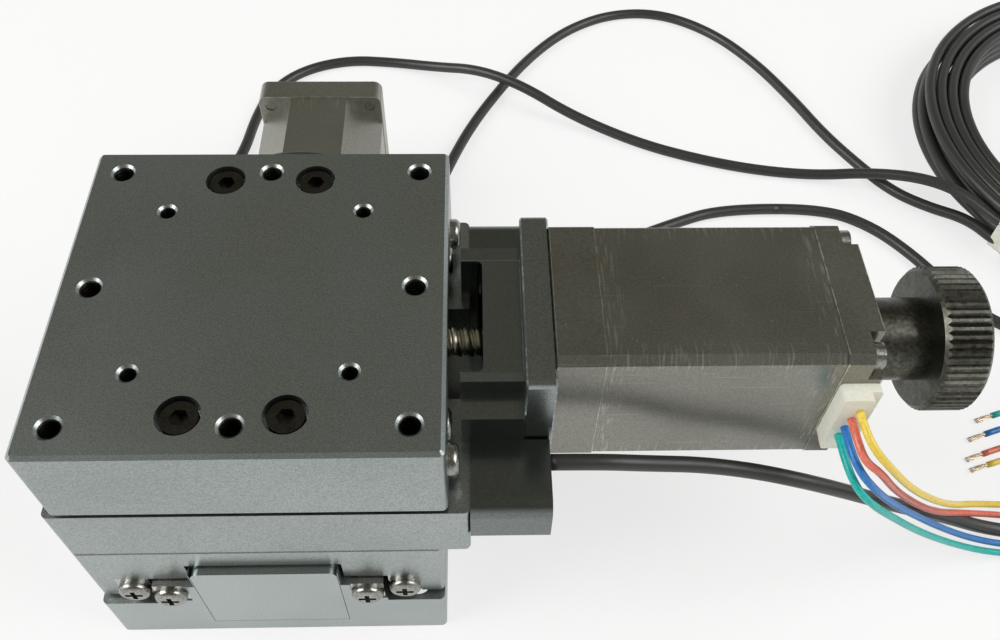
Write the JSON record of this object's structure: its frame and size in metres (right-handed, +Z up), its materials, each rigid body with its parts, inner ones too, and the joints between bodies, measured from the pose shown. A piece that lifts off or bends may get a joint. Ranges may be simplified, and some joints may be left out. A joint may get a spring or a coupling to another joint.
{
  "type": "two-axis linear translation stage",
  "caption": "Motorised XY translation stage: crossed-roller slides stacked at right angles, lead screws, square motors, knurled hand knob, and sensor cables in a tied coil.",
  "frame": {"origin": "on the bottom face, at the centre of the lower base's four mounting holes", "axes": "+X is the upper table's travel, toward its motor and hand knob; +Y is the lower table's travel, toward its motor; +Z is up"},
  "size_m": [0.3053, 0.189, 0.062],
  "materials": {
    "black_anodised": "bead-blasted black anodised, satin",
    "motor_black": "satin black",
    "laminations": "varnished sheet-steel laminations",
    "rail_steel": "ground hardened steel",
    "roller_steel": "polished hardened steel",
    "cage_steel": "thin pressed steel",
    "screw_black": "black oxide steel",
    "screw_bright": "zinc-plated steel",
    "shaft_steel": "rolled steel",
    "bearing_steel": "ground steel",
    "nut_bronze": "turned bronze",
    "rotor_steel": "magnet and steel laminations",
    "white_plastic": "moulded nylon",
    "black_plastic": "moulded",
    "tie_nylon": "translucent nylon",
    "cable_black": "flexible vinyl jacket",
    "lead_yellow": "vinyl insulation",
    "lead_red": "vinyl insulation",
    "lead_blue": "vinyl insulation",
    "lead_green": "vinyl insulation"
  },
  "bodies": {
    "base": {"lower_base": "black_anodised", "lower_end_cover": "black_anodised", "lower_base_rails": "rail_steel", "lower_base_rail_screws": "screw_black", "lower_base_end_screws": "screw_bright", "lower_bearings": "bearing_steel", "lower_motor_bracket": "black_anodised", "lower_motor_flange": "black_anodised", "lower_sensor_housing": "black_anodised", "lower_motor_front_cap": "motor_black", "lower_motor_stator": "laminations", "lower_motor_rear_cap": "motor_black", "lower_motor_screws": "screw_bright", "lower_motor_connector": "black_plastic", "lower_sensor_cable": "cable_black", "lower_cable_coil": "cable_black", "upper_cable_coil": "cable_black", "upper_cable_run": "cable_black", "cable_tie": "tie_nylon"},
    "carriage": {"lower_table": "black_anodised", "lower_table_rails": "rail_steel", "lower_table_rail_screws": "screw_black", "lower_table_end_screws": "screw_bright", "lower_nut_block": "black_anodised", "lower_screw_nut": "nut_bronze", "stacking_screws": "screw_black", "upper_base": "black_anodised", "upper_end_cover": "black_anodised", "upper_base_rails": "rail_steel", "upper_base_rail_screws": "screw_black", "upper_base_end_screws": "screw_bright", "upper_bearings": "bearing_steel", "upper_motor_bracket": "black_anodised", "upper_motor_flange": "black_anodised", "upper_sensor_housing": "black_anodised", "upper_motor_front_cap": "motor_black", "upper_motor_stator": "laminations", "upper_motor_rear_cap": "motor_black", "upper_motor_screws": "screw_bright", "upper_motor_connector": "white_plastic", "upper_sensor_cable": "cable_black", "yellow_motor_lead": "lead_yellow", "red_motor_lead": "lead_red", "blue_motor_lead": "lead_blue", "green_motor_lead": "lead_green"},
    "top_table": {"upper_table": "black_anodised", "upper_table_rails": "rail_steel", "upper_table_rail_screws": "screw_black", "upper_table_end_screws": "screw_bright", "upper_nut_block": "black_anodised", "upper_screw_nut": "nut_bronze"},
    "lower_cages": {"lower_roller_cages": "cage_steel", "lower_rollers": "roller_steel"},
    "upper_cages": {"upper_roller_cages": "cage_steel", "upper_rollers": "roller_steel"},
    "lower_rotor": {"lower_lead_screw": "shaft_steel", "lower_motor_rotor": "rotor_steel"},
    "upper_rotor": {"upper_lead_screw": "shaft_steel", "upper_motor_rotor": "rotor_steel", "hand_knob": "black_anodised"}
  },
  "joints": [
    {"name": "lower_slide", "type": "slide", "parent": "base", "child": "carriage", "axis": [0, 1, 0], "range_m": [-0.0114, 0.0086]},
    {"name": "lower_cage_slide", "type": "slide", "parent": "base", "child": "lower_cages", "axis": [0, 1, 0], "range_m": [-0.0058, 0.0044]},
    {"name": "lower_screw_turn", "type": "hinge", "parent": "base", "child": "lower_rotor", "pos_m": [0, 0, 0.016], "axis": [0, 1, 0], "range_deg": [-1550, 2054]},
    {"name": "upper_slide", "type": "slide", "parent": "carriage", "child": "top_table", "axis": [1, 0, 0], "range_m": [-0.0114, 0.0086]},
    {"name": "upper_cage_slide", "type": "slide", "parent": "carriage", "child": "upper_cages", "axis": [1, 0, 0], "range_m": [-0.0058, 0.0044]},
    {"name": "upper_screw_turn", "type": "hinge", "parent": "carriage", "child": "upper_rotor", "pos_m": [0, 0.0014, 0.047], "axis": [1, 0, 0], "range_deg": [-1550, 2054]}
  ],
  "couplings": [
    {"joint": "lower_cage_slide", "follows": "lower_slide", "ratio": 0.5},
    {"joint": "lower_screw_turn", "follows": "lower_slide", "rad_per_m": -3141.6},
    {"joint": "upper_cage_slide", "follows": "upper_slide", "ratio": 0.5},
    {"joint": "upper_screw_turn", "follows": "upper_slide", "rad_per_m": -3141.6}
  ]
}
